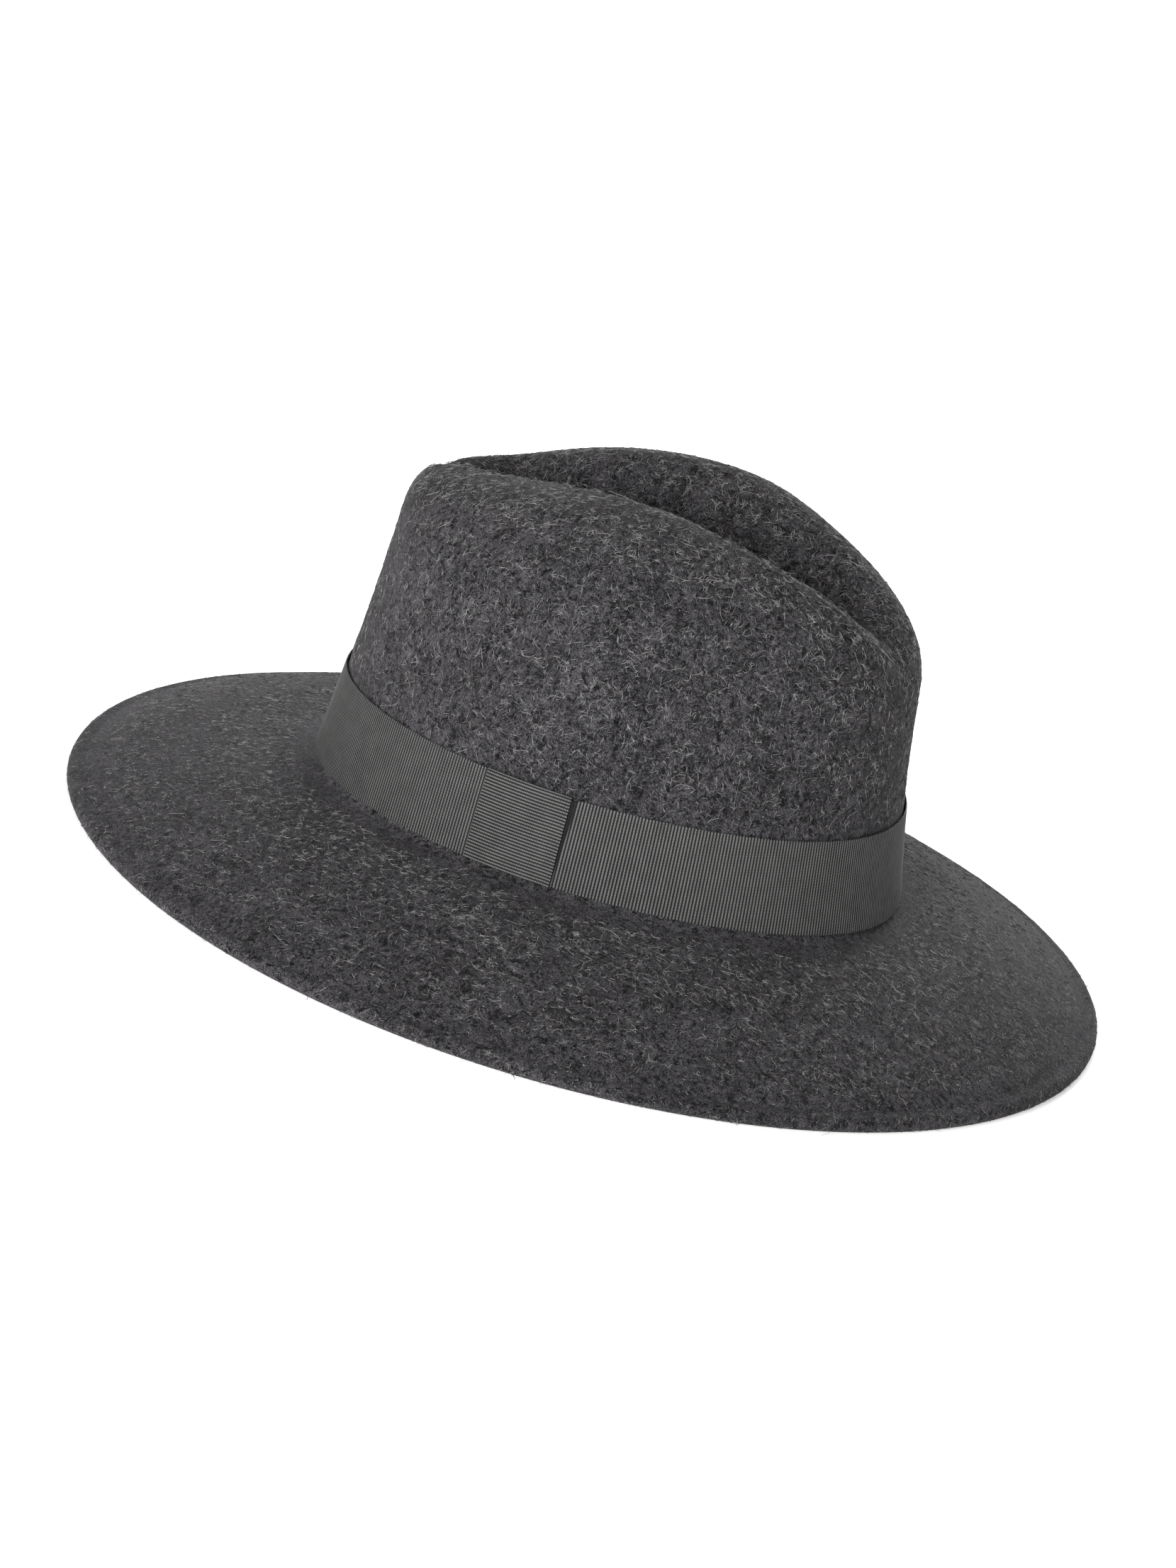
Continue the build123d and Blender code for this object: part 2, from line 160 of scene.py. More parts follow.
def finer(rows, turns):
    """Rows known at the probing turns, at turns of either side: below zero on the wearer's right."""
    mirror = np.array([-1, 1, 1])
    before, after = rows[:, PAST:0:-1] * mirror, rows[:, -2 : -2 - PAST : -1] * mirror
    known = np.concatenate([before, rows, after], axis=1).swapaxes(0, 1)
    step = PROBE_TURNS[1]
    knots = np.arange(-PAST, len(PROBE_TURNS) + PAST) * step
    folded = np.abs((np.asarray(turns) + math.pi) % (2 * math.pi) - math.pi)
    side = np.where((np.asarray(turns) + math.pi) % (2 * math.pi) < math.pi, -1, 1)
    found = natural_spline(knots, known)(folded).swapaxes(0, 1)
    found[..., 0] *= side
    return found


class Ring:
    """A smooth wall round the crown, through the probed rings of one CAD node."""

    def __init__(self, node, heights, inside=False):
        skin = Surface(node)
        turns = np.clip(PROBE_TURNS, 0, math.pi - CLEAR_OF_SEAM)
        self.rings = np.stack([skin.wall_row(z, inside, turns) for z in heights])
        self.rings[:, (0, -1), 0] = 0
        self.heights = heights

    def points(self, turns, heights):
        """Points of the wall, rows of heights by columns of turns."""
        return finer(natural_spline(self.heights, self.rings)(heights), turns)

    def grid(self, turns, heights):
        """Points, outward normals and upward directions, for rows of heights and columns of turns."""
        turns, heights = np.asarray(turns, float), np.asarray(heights, float)
        step, rise = 0.01, 0.5
        along = self.points(turns + step, heights) - self.points(turns - step, heights)
        up = self.points(turns, heights + rise) - self.points(turns, heights - rise)
        out = np.cross(along, up)
        out /= np.linalg.norm(out, axis=-1, keepdims=True)
        up /= np.linalg.norm(up, axis=-1, keepdims=True)
        return self.points(turns, heights), out, up


def arc(radius, start, end, count, centre=(0.0, 0.0)):
    """Points of an arc, its ends in degrees."""
    turns = np.radians(np.linspace(start, end, count))
    return [(centre[0] + radius * math.cos(t), centre[1] + radius * math.sin(t)) for t in turns]


# ---------------- meshes
def piece(name, points, faces, material, nodes=()):
    """A piece of the hat from points in millimetres, riding on the one body."""
    mesh = bpy.data.meshes.new(name)
    mesh.from_pydata((np.asarray(points) * MM).tolist(), [], faces)
    mesh.validate()
    mesh.polygons.foreach_set("use_smooth", [True] * len(mesh.polygons))
    mesh.materials.append(material)
    made = bpy.data.objects.new(name, mesh)
    bpy.context.scene.collection.objects.link(made)
    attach(made, "root")
    if nodes:
        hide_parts(*nodes)
    return made


def lattice(rows, columns, across=False, round_=False, base=0):
    """Faces of a rows by columns grid; across joins the last column to the first, round_ the rows."""
    faces = []
    for r in range(rows if round_ else rows - 1):
        below = (r + 1) % rows
        for c in range(columns if across else columns - 1):
            right = (c + 1) % columns
            a, b = base + r * columns + c, base + r * columns + right
            d, e = base + below * columns + c, base + below * columns + right
            faces.append((a, b, e, d))
    return faces


def strip_faces(count, columns, base=0):
    """Faces of a solid strip: a round section of count rows along open columns, with both end caps."""
    faces = lattice(count, columns, round_=True, base=base)
    faces.append(tuple(base + r * columns for r in range(count)))
    faces.append(tuple(base + r * columns + columns - 1 for r in reversed(range(count))))
    return faces


def closed_strip(name, rows, material, nodes):
    """A sheet as a solid strip."""
    made = piece(name, rows.reshape(-1, 3), strip_faces(*rows.shape[:2]), material, nodes)
    return made


def set_uv(made, values):
    """A UV for each vertex of a piece."""
    layer = made.data.uv_layers.new(name="UVMap")
    corner = np.empty(len(made.data.loops), int)
    made.data.loops.foreach_get("vertex_index", corner)
    layer.data.foreach_set("uv", np.asarray(values, np.float32)[corner].ravel())


# ---------------- materials
class Look:
    """A material and short ways of adding nodes to it."""

    def __init__(self, name):
        self.material = bpy.data.materials.new(name)
        self.material.use_nodes = True
        self.nodes = self.material.node_tree.nodes
        self.links = self.material.node_tree.links
        self.shader = self.nodes["Principled BSDF"]

    def add(self, kind, inputs=(), **settings):
        """A new node with its settings, and its inputs set or linked."""
        made = self.nodes.new("ShaderNode" + kind)
        for key, value in settings.items():
            setattr(made, key, value)
        for key, value in dict(inputs).items():
            self.feed(made.inputs[key], value)
        return made

    def feed(self, socket, value):
        """Link another node's output to a socket, or set its value."""
        if isinstance(value, bpy.types.NodeSocket):
            self.links.new(value, socket)
        else:
            socket.default_value = value

    def math(self, operation, a, b=0.0, c=0.0):
        node = self.add("Math", operation=operation)
        for i, value in enumerate((a, b, c)):
            self.feed(node.inputs[i], value)
        return node.outputs[0]

    def times(self, a, b):
        return self.math("MULTIPLY", a, b)

    def span(self, value, low, high, to_low=0.0, to_high=1.0):
        """value mapped smoothly from low..high to to_low..to_high."""
        pairs = {"Value": value, "From Min": low, "From Max": high, "To Min": to_low, "To Max": to_high}
        return self.add("MapRange", pairs, interpolation_type="SMOOTHSTEP").outputs["Result"]

    def mix(self, share, a, b, kind="MIX"):
        node = self.add("Mix", data_type="RGBA", blend_type=kind)
        for i, value in ((0, share), (6, a), (7, b)):
            self.feed(node.inputs[i], value)
        return node.outputs[2]

    def millimetres(self, stretch=(1, 1, 1), shift=(0, 0, 0)):
        """The piece's own coordinates in millimetres."""
        place = self.add("TexCoord").outputs["Object"]
        scale = [1 / MM * s for s in stretch]
        pairs = {"Vector": place, "Scale": scale, "Location": shift}
        return self.add("Mapping", pairs).outputs[0]

    def noise(self, place, scale, detail=2.0, roughness=0.5, distortion=0.0, out="Fac"):
        pairs = {"Vector": place, "Scale": scale, "Detail": detail, "Roughness": roughness}
        pairs["Distortion"] = distortion
        return self.add("TexNoise", pairs).outputs[out]

    def strands(self, place, scale, width):
        """Thin wandering lines: where a noise passes through its middle value."""
        value = self.noise(place, scale, 1.0, 0.4, 0.6)
        off = self.math("ABSOLUTE", self.math("SUBTRACT", value, 0.5))
        return self.span(off, 0.0, width, 1.0, 0.0)

    def bump(self, height, distance, strength=1.0):
        """A normal raised by a height of up to distance in millimetres."""
        pairs = {"Height": height, "Distance": distance * MM, "Strength": strength}
        return self.add("Bump", pairs).outputs[0]

    def finish(self, **inputs):
        """The material, with its shader's inputs set."""
        for key, value in inputs.items():
            self.feed(self.shader.inputs[key.replace("_", " ")], value)
        return self.material


def grey(value, warmth=0.0):
    """A grey, a little redder than neutral where warmth is above zero."""
    return (value * (1 + warmth), value, value * (1 - warmth), 1.0)


FELT_STRANDS = (                    # each layer's scale, width and stretch
    (0.8, 0.045, (1, 1, 1)),
    (1.0, 0.05, (1, 0.7, 0.8)),
    (1.25, 0.06, (0.8, 1, 0.7)),
    (1.6, 0.075, (1, 0.6, 1)),
    (2.1, 0.09, (1, 0.8, 0.6)),
)
FELT_DARK = (0.003, 0.0028, 0.0032, 1.0)
FELT_PALE = (0.084, 0.0803, 0.0862, 1.0)
FELT_TAN = (0.12, 0.085, 0.06, 1.0)


def felt_look():
    """Charcoal melange wool felt: dark ground, paler tangled fibres, soft nap."""
    look = Look("wool_felt")
    place = look.millimetres()
    wander = look.noise(place, 0.11, 3.0, 0.6, out="Color")
    offset = look.add("VectorMath", {0: wander, 1: (7.0, 7.0, 7.0)}, operation="MULTIPLY")
    bent = look.add("VectorMath", {0: place, 1: offset.outputs[0]}, operation="ADD").outputs[0]
    cloud = look.noise(place, 0.09, 3.0, 0.55)
    mottle = look.noise(bent, 0.75, 4.0, 0.8)
    tangle = 0.0
    for number, (scale, width, stretch) in enumerate(FELT_STRANDS):
        own = look.millimetres(stretch=stretch, shift=(31 * number + 3, 17 * number, 7 * number))
        own = look.add("VectorMath", {0: own, 1: offset.outputs[0]}, operation="ADD").outputs[0]
        broken = look.span(look.noise(own, 0.5, 1.0), 0.48, 0.6)
        layer = look.times(look.strands(own, scale, width), broken)
        tangle = look.math("MAXIMUM", tangle, look.times(layer, 1.0 - 0.09 * number))
    speck = look.noise(place, 2.4, 2.0, 0.6)
    pale = look.math("ADD", look.span(mottle, 0.43, 0.64, 0.0, 0.34), look.times(tangle, 1.25))
    pale = look.times(pale, look.span(speck, 0.36, 0.64, 0.3, 1.7))
    pale = look.times(pale, look.span(cloud, 0.32, 0.68, 0.68, 1.32))
    tan = look.span(look.noise(look.millimetres(shift=(7, 71, 13)), 0.7, 2.0), 0.66, 0.72)
    colour = look.mix(pale, FELT_DARK, FELT_PALE)
    colour = look.mix(look.times(tan, tangle), colour, FELT_TAN)
    rough = look.noise(place, 1.6, 3.0, 0.7)
    height = look.math("ADD", look.times(mottle, 0.8), look.times(tangle, 0.6))
    height = look.math("ADD", height, look.times(rough, 0.5))
    return look.finish(
        Base_Color=colour,
        Roughness=0.95,
        Specular_IOR_Level=0.12,
        Sheen_Weight=0.22,
        Sheen_Roughness=0.35,
        Sheen_Tint=(0.42, 0.4, 0.42, 1.0),
        Normal=look.bump(height, 0.45, 0.8),
    )


def grosgrain_look(name, shadow=None):
    """Dark grey corded ribbon; the cords are in the mesh and run along the UV's v.

    shadow is the y of the keeper's front edge, where the gap ahead of it is painted dark.
    """
    look = Look(name)
    place = look.add("UVMap", uv_map="UVMap").outputs[0]
    cord = look.add("SeparateXYZ", {"Vector": place}).outputs
    phase = look.times(cord[0], 2 * math.pi)
    crest = look.math("MULTIPLY_ADD", look.math("COSINE", phase), 0.5, 0.5)
    rise = look.times(cord[1], 2 * math.pi * 1.05)
    slant = look.math("ADD", rise, look.times(phase, 0.9))
    twist = look.math("MULTIPLY_ADD", look.math("SINE", slant), 0.5, 0.5)
    object_place = look.millimetres()
    thread = look.noise(object_place, 3.0, 2.0, 0.6)
    uneven = look.noise(object_place, 0.2, 2.0, 0.5)
    # The valleys between the cords are painted nearly black: painted shade, added over the cords' real
    # relief in the mesh.
    shade = look.math("MULTIPLY_ADD", look.span(crest, 0.22, 0.85), 0.98, 0.02)
    shade = look.times(shade, look.math("MULTIPLY_ADD", twist, 0.6, 0.55))
    shade = look.times(shade, look.span(thread, 0.3, 0.7, 0.85, 1.15))
    shade = look.times(shade, look.span(uneven, 0.3, 0.7, 0.84, 1.12))
    # Ambient occlusion darkens the colour in crevices and between the cords: painted shade.
    open_ = look.add("AmbientOcclusion", {"Distance": 1.3 * MM}, samples=4).outputs["AO"]
    shade = look.times(shade, look.span(open_, 0.35, 0.9, 0.1, 1.0))
    if shadow is not None:
        axes = look.add("SeparateXYZ", {"Vector": object_place}).outputs
        reach = look.math("MULTIPLY_ADD", axes[2], 0.03, -0.5)
        off = look.math("SUBTRACT", look.math("SUBTRACT", shadow, axes[1]), reach)
        behind = look.span(axes[1], shadow + 8, shadow + 10)
        ahead = look.span(off, 0.0, 0.6, 0.04, 1.0)
        elsewhere = look.math("MAXIMUM", behind, look.span(axes[0], -1.0, 0.0))
        shade = look.times(shade, look.math("MAXIMUM", ahead, elsewhere))
    colour = look.mix(shade, grey(0.0015, 0.02), grey(0.108, 0.012))
    height = look.math("ADD", look.times(twist, 0.5), look.times(thread, 0.5))
    return look.finish(
        Base_Color=colour,
        Roughness=0.6,
        Specular_IOR_Level=0.2,
        Sheen_Weight=0.02,
        Sheen_Roughness=0.4,
        Normal=look.bump(height, 0.06, 0.6),
    )


def leather_look(name, dark, pale, pebble=1.1):
    """Grained leather, its pebbles this many to the millimetre."""
    look = Look(name)
    place = look.millimetres()
    cells = look.add("TexVoronoi", {"Vector": place, "Scale": pebble}, feature="DISTANCE_TO_EDGE")
    crack = look.span(cells.outputs[0], 0.0, 0.16)
    blotch = look.noise(place, 0.08, 4.0, 0.6)
    tone = look.span(blotch, 0.3, 0.7, 0.4, 1.0)
    share = look.times(tone, look.math("MULTIPLY_ADD", crack, 0.5, 0.5))
    colour = look.mix(share, dark, pale)
    height = look.math("ADD", crack, look.times(look.noise(place, 4.0, 3.0), 0.3))
    gloss = look.span(blotch, 0.3, 0.7, 0.48, 0.62)
    return look.finish(Base_Color=colour, Roughness=gloss, Normal=look.bump(height, 0.12, 0.5))


def cloth_look(name, dark, pale, pitch):
    """Plain woven cloth or tape."""
    look = Look(name)
    place = look.millimetres()
    axes = look.add("SeparateXYZ", {"Vector": place}).outputs
    waves = [look.math("SINE", look.times(a, 2 * math.pi / pitch)) for a in axes]
    crossed = look.times(look.math("ADD", waves[0], waves[1]), waves[2])
    weave = look.math("MULTIPLY_ADD", crossed, 0.25, 0.5)
    fuzz = look.noise(place, 2.0, 3.0, 0.7)
    share = look.math("MULTIPLY_ADD", look.math("ADD", weave, fuzz), 0.5, 0.0)
    colour = look.mix(share, dark, pale)
    bump = look.bump(look.math("ADD", weave, fuzz), 0.08, 0.6)
    return look.finish(Base_Color=colour, Roughness=0.85, Sheen_Weight=0.1, Normal=bump)


def smooth_look(name, dark, pale, metallic=0.0, rough=0.4):
    """A plain drawn or moulded surface with faint marks of wear."""
    look = Look(name)
    place = look.millimetres(stretch=(1, 1, 0.3))
    marks = look.noise(place, 2.5, 4.0, 0.7)
    colour = look.mix(look.span(marks, 0.3, 0.7), dark, pale)
    gloss = look.span(marks, 0.3, 0.7, rough * 0.8, rough * 1.3)
    bump = look.bump(marks, 0.01, 0.3)
    return look.finish(Base_Color=colour, Roughness=gloss, Metallic=metallic, Normal=bump)


FELT_LOOK = felt_look()
RIBBON_LOOK = grosgrain_look("grosgrain_ribbon")
THREAD_LOOK = cloth_look("thread", grey(0.02), grey(0.06), 0.3)
LEATHER_LOOK = leather_look("sweatband_leather", grey(0.018, 0.12), grey(0.05, 0.16))
WIRE_LOOK = smooth_look("spring_wire", grey(0.35), grey(0.55), metallic=1.0, rough=0.3)
SLEEVE_LOOK = smooth_look("wire_sleeve", grey(0.4), grey(0.6), metallic=1.0, rough=0.35)
REED_LOOK = smooth_look("reed_plastic", grey(0.5), grey(0.65), rough=0.45)
TAPE_LOOK = cloth_look("reed_tape", grey(0.015), grey(0.05), 0.45)
SEAM_LOOK = leather_look("seam_tape", grey(0.016, 0.12), grey(0.04, 0.16), 1.8)
BOW_LOOK = cloth_look("bow_ribbon", grey(0.015), grey(0.06), 0.5)
LABEL_LOOK = cloth_look("label_cloth", grey(0.45, 0.02), grey(0.62, 0.02), 0.4)


# ---------------- felt
felt = Surface("felt_body")
felt_low, felt_high = (np.array(c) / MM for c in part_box("felt_body"))
BRIM_HALF_WIDTH = (felt_high[0] - felt_low[0]) / 2
BRIM_HALF_LENGTH = (felt_high[1] - felt_low[1]) / 2
HALF_COLUMNS = 181
TURNS = np.linspace(0, math.pi, HALF_COLUMNS)
ROW_STEP = 2.4
RAISED, LOWERED = 3.6, 5.0          # the far ridge's unevenness, before it fades down the crown


def edge_points(oval, outline):
    """Points of an outline (out, up) about the middle of the rolled edge, at each turn of the oval."""
    flat = np.stack([np.sin(oval) / BRIM_HALF_WIDTH, -np.cos(oval) / BRIM_HALF_LENGTH, 0 * oval], -1)
    flat /= np.linalg.norm(flat, axis=-1, keepdims=True)
    across, along = BRIM_HALF_WIDTH * np.sin(oval), -BRIM_HALF_LENGTH * np.cos(oval)
    place = np.stack([across, along, 0 * oval + BEAD], -1)
    middle = place - BEAD * flat
    slope = math.atan(EDGE_SLOPE)
    out = flat * math.cos(slope) - np.array([0, 0, math.sin(slope)])
    up = flat * math.sin(slope) + np.array([0, 0, math.cos(slope)])
    return np.stack([middle + a * out + b * up for a, b in outline])


def resample(rows, lead=0):
    """Rows at even steps along the section, leaving out the leading ones, which only guide it."""
    along = travel(rows)
    length = along[-1] - along[lead]
    steps = along[lead] + np.linspace(0, length, round(length / ROW_STEP) + 1)
    return natural_spline(along, rows)(steps)


def crown_rows():
    """The crown's outside from the middle of the crease down to just above the break."""
    rows = [felt.crown_row(math.radians(r)) for r in CROWN_RISES]
    heights = np.linspace(CORE_HEIGHT, BREAK_RADIUS, WALL_LEVELS)[1:]
    rows += [felt.wall_row(z) for z in heights]
    rows = finer(np.stack(rows), TURNS)
    rows[0, :, 0] = 0
    rows[:, (0, -1), 0] = 0
    guide = rows[2:0:-1] * np.array([-1, 1, 1])
    return resample(np.concatenate([guide, rows]), lead=2)


def edge_outline():
    """The rolled edge from its groove round to its underside, the lip and the wire's channel."""
    groove = [(-6.6, EDGE_TOP), (-5.2, EDGE_TOP - 0.12), (-4.1, EDGE_TOP - 0.42), (-3.2, EDGE_TOP - 0.38)]
    bead = groove + [(-2.3, EDGE_TOP - 0.02)] + arc(BEAD, 124, -112, 15)
    middle = -SLIT - LIP_FELT / 2
    lip = [(-2.0, middle - LIP_FELT / 2 - 0.3), (-3.4, middle - LIP_FELT / 2)]
    lip += arc(LIP_FELT / 2, 270, 90, 7, (-LIP_REACH, middle)) + [(-4.5, -SLIT), (-2.0, -SLIT)]
    side = math.degrees(math.asin(SLIT / CHANNEL))
    return bead + lip + arc(CHANNEL, -180 + side, 180 - side, 11) + [(-2.6, SLIT), (-6.9, SLIT)]


def grid_normals(rows):
    """Normals of a half grid, its rows from the crease outward."""
    down = np.gradient(rows, axis=0)
    along = np.gradient(rows, axis=1)
    n = np.cross(down, along)
    n[:, (0, -1), 0] = 0
    n /= np.linalg.norm(n, axis=-1, keepdims=True)
    return n


def felt_rows():
    """The whole skin of the felt as half rows: outside, rolled edge, underside and inside."""
    crown = crown_rows()
    wall = crown[-1]
    reach = np.abs(wall).max(axis=0)
    oval = np.arctan2(wall[:, 0] / reach[0], -wall[:, 1] / reach[1])
    end = edge_points(oval, [(-EDGE_START, EDGE_TOP)])[0]
    run = np.linalg.norm((end - wall)[:, :2], axis=1)
    first = BREAK_RADIUS / run
    brim = []
    for share in np.linspace(0, 1, BRIM_LEVELS)[:-1]:
        t = (first + (1 - first) * share)[:, None]
        brim.append(felt.drop(wall + (end - wall) * t))
    brim = resample(np.stack(brim + [end]))
    corner = wall.copy()
    corner[:, 2] = brim[0][:, 2] + 0.2 * BREAK_RADIUS
    curve = [wall * (1 - s) ** 2 + corner * 2 * s * (1 - s) + brim[0] * s * s for s in (0.25, 0.5, 0.75)]
    edge = edge_points(oval, edge_outline())
    outside = np.concatenate([crown, np.stack(curve), brim])
    # Known fault: the first row's two end normals come out wrong, and each makes a stray inner point.
    normals = grid_normals(outside)
    normals[0, :, 0] = 0
    normals[0] /= np.linalg.norm(normals[0], axis=-1, keepdims=True)
    thick = np.full(len(outside), FELT)
    fade = 8
    thick[-fade:] = np.linspace(FELT, EDGE_TOP - SLIT, fade)
    inner = outside - thick[:, None, None] * normals
    return np.concatenate([outside, edge, inner[::-1]]), len(outside)


rows, outer_rows = felt_rows()


def whole(rows):
    """Both halves of symmetric half rows as one turn of columns, without repeats."""
    mirror = rows[:, -2:0:-1] * np.array([-1, 1, 1])
    return np.concatenate([rows, mirror], axis=1)


def hand_shaped(points):
    """The far ridge raised along its middle and lowered at its rear, as if shaped by hand."""
    x, y, z = points[..., 0], points[..., 1], points[..., 2]
    high = np.clip((z - 85) / 45, 0, 1) ** 2
    far = np.clip(x / 25, 0, 1) ** 2 * (3 - 2 * np.clip(x / 25, 0, 1))
    swell = RAISED * np.exp(-(((y - 14) / 44) ** 4)) - LOWERED * np.exp(-(((y - 92) / 24) ** 2))
    moved = points.copy()
    moved[..., 2] += high * far * swell
    return moved


def felt_piece():
    """The felt as one closed skin, its first and last rows joined along the crease."""
    full = hand_shaped(whole(rows))
    count, columns = full.shape[:2]
    points = full.reshape(-1, 3)
    faces = lattice(count, columns, across=True)
    made = piece("crown_and_brim", points, faces, FELT_LOOK, ["felt_body"])
    shape = bmesh.new()
    shape.from_mesh(made.data)
    shape.verts.ensure_lookup_table()
    ends = [shape.verts[i] for i in range(columns)]
    ends += [shape.verts[(count - 1) * columns + i] for i in range(columns)]
    bmesh.ops.remove_doubles(shape, verts=ends, dist=1e-6)
    bmesh.ops.recalc_face_normals(shape, faces=shape.faces)
    shape.to_mesh(made.data)
    shape.free()
    return made


felt_piece()

# ---------------- ribbon
RIBBON_FOOT, RIBBON_WIDTH = 2.2, 30.0   # height above the break line, and the ribbon's width
RIBBON_TOP = RIBBON_FOOT + RIBBON_WIDTH
RIBBON = 0.45                           # its thickness between the cords' crests
CORD_PITCH, CORD_RISE = 1.08, 0.34
CORD_COLUMNS = 6
SELVEDGE = 0.7                          # the thin edge's width
JOIN_GAP, BAND_RADIUS = 1.2, 90.0       # the gap under the keeper, and a radius that makes it a turn

band_ring = Ring("ribbon_band", np.linspace(RIBBON_FOOT + 0.3, RIBBON_TOP - 0.3, 7))
keeper_low, keeper_high = (np.array(c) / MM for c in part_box("ribbon_keeper"))
KEEPER_HALF = 15.0
KEEPER_MIDDLE = (keeper_low[1] + keeper_high[1]) / 2
KEEPER_FRONT = KEEPER_MIDDLE - KEEPER_HALF


def side_turns(y):
    """Turns on the wearer's right side of the band that lie at y along the hat."""
    fine = np.linspace(-math.pi / 2 - 0.4, -math.pi / 2 + 0.4, 240)
    level = band_ring.points(fine, np.array([RIBBON_FOOT + RIBBON_WIDTH / 2]))[0]
    order = np.argsort(level[:, 1])
    return np.interp(y, level[order, 1], fine[order])


KEEPER_TURN = float(side_turns(KEEPER_MIDDLE))
BAND_LOOK = grosgrain_look("grosgrain_band", shadow=KEEPER_FRONT)


def cord_crest(along):
    """Height of the cords' round backs, from 0 in the valleys to 1, at places counted in cords."""
    return np.sqrt(np.maximum(1 - (2 * (along % 1) - 1) ** 2, 0))


def body_share(across, width):
    """How far places across a ribbon are out of its thin selvedge, from 0 to 1."""
    return np.clip(np.minimum(across, width - across) / SELVEDGE, 0, 1)


def valley(crest, thin):
    """How deep the face lies below the cords' crests."""
    return (1 - crest) * CORD_RISE * (0.35 + 0.65 * thin)


def even_turns(ring, z, start, end, step):
    """Turns from start to end that are even steps apart along the ring."""
    fine = np.linspace(start, end, 2000)
    line = ring.points(fine, np.array([z]))[0]
    run = np.concatenate([[0], np.cumsum(np.linalg.norm(np.diff(line, axis=0), axis=1))])
    count = round(run[-1] / step)
    return np.interp(np.linspace(0, run[-1], count + 1), run, fine), run[-1]


def band_piece():
    """The hatband: upright cords, a scalloped selvedge along both edges, its ends under the keeper."""
    middle = (RIBBON_FOOT + RIBBON_TOP) / 2
    reach = JOIN_GAP / 2 / BAND_RADIUS
    step = CORD_PITCH / CORD_COLUMNS
    start, end = KEEPER_TURN + reach, KEEPER_TURN + 2 * math.pi - reach
    turns, length = even_turns(band_ring, middle, start, end, step)
    cords = np.arange(len(turns)) / CORD_COLUMNS
    crest = cord_crest(cords)
    inset = np.array([0.0, 0.18, SELVEDGE, 1.6])
    spread = np.linspace(inset[-1], RIBBON_WIDTH - inset[-1], 8)[1:-1]
    levels = np.concatenate([inset, spread, RIBBON_WIDTH - inset[::-1]])
    thin = body_share(levels, RIBBON_WIDTH)[:, None]
    points, out, up = band_ring.grid(turns, RIBBON_FOOT + levels)
    lift = 0.05 - valley(crest, thin) - 0.1 * (1 - thin)
    sign = np.where(levels < RIBBON_WIDTH / 2, -1.0, 1.0)[:, None]
    scallop = sign * (1 - thin) * (0.22 * crest - 0.06)
    near = points[-1, :, 1] - KEEPER_FRONT
    beside = (points[-1, :, 0] < 0) & (near < 0.5)
    dip = np.where(beside, 0.9 * np.exp(-((near / 1.6) ** 2)), 0.0)
    pulled = np.clip((levels - RIBBON_WIDTH + 6) / 6, 0, 1)[:, None] ** 2
    face = points + lift[..., None] * out + (scallop - dip * pulled)[..., None] * up
    back = points - RIBBON * out + (0.6 * scallop - dip * pulled)[..., None] * up
    rows = np.concatenate([face, back[::-1]])
    made = closed_strip("hatband", rows, BAND_LOOK, ["ribbon_band"])
    high = np.concatenate([levels, levels[::-1]])
    uv = np.stack(np.broadcast_arrays(cords[None, :] - 0.5, high[:, None]), -1)
    set_uv(made, uv.reshape(-1, 2))


def keeper_path():
    """The keeper's face as (away from the band's face, height): up behind the band, over it and down."""
    low, high = RIBBON_FOOT - 0.45, RIBBON_TOP + 0.35
    behind, front = -0.72, 0.42
    centre, fold = ((behind + front) / 2, high - 0.3), (front - behind) / 2
    path = [(behind, z) for z in np.linspace(RIBBON_FOOT + 4, high - 0.3, 12)]
    path += arc(fold, 180, 0, 9, centre)[1:-1]
    for s in np.linspace(0, 1, 30):
        path.append((front + 0.1 * math.sin(math.pi * s) ** 0.5, high - 0.3 + (low - high + 0.6) * s))
    path += arc(0.3, 0, -110, 5, (front - 0.3, low + 0.3))[1:]
    return np.array(path)


def keeper_faces():
    """The keeper's outer and inner faces, with how far along and across it each point lies."""
    path = keeper_path()
    run = np.concatenate([[0], np.cumsum(np.linalg.norm(np.diff(path, axis=0), axis=1))])
    count = round(run[-1] / CORD_PITCH * CORD_COLUMNS)
    along = np.linspace(0, run[-1], count + 1)
    line = np.stack([np.interp(along, run, path[:, k]) for k in (0, 1)], -1)
    cords = along / CORD_PITCH
    crest = cord_crest(cords)
    width = 2 * KEEPER_HALF
    across = np.array([0.0, 0.2, SELVEDGE, 1.5, 3.0])
    across = np.concatenate([across, np.linspace(5, width - 5, 12), width - across[::-1]])
    y = KEEPER_FRONT + across
    points, out, up = band_ring.grid(side_turns(y), line[:, 1])
    slope = np.gradient(line, axis=0)
    slope /= np.linalg.norm(slope, axis=1, keepdims=True)
    face_out = slope[:, 1:2, None] * out - slope[:, 0:1, None] * up
    thin = body_share(across, width)[None, :]
    lifted = 0.6 * np.clip((KEEPER_FRONT + 4 - y) / 4, 0, 1) ** 2
    outer = np.clip(line[:, 0:1] + 0.1, 0, 0.5) * 2
    lift = -valley(crest[:, None], thin) - 0.08 * (1 - thin)
    side = np.where(across < KEEPER_HALF, -1.0, 1.0)[None, :]
    scallop = side * (1 - thin) * (0.2 * crest[:, None] - 0.05)
    shift = np.zeros(points.shape)
    shift[..., 1] = scallop
    base = points + line[:, 0:1, None] * out + (lifted[None, :] * outer)[..., None] * out
    face = base - lift[..., None] * face_out + shift
    back = base + RIBBON * face_out + 0.6 * shift
    return face, back, cords, across


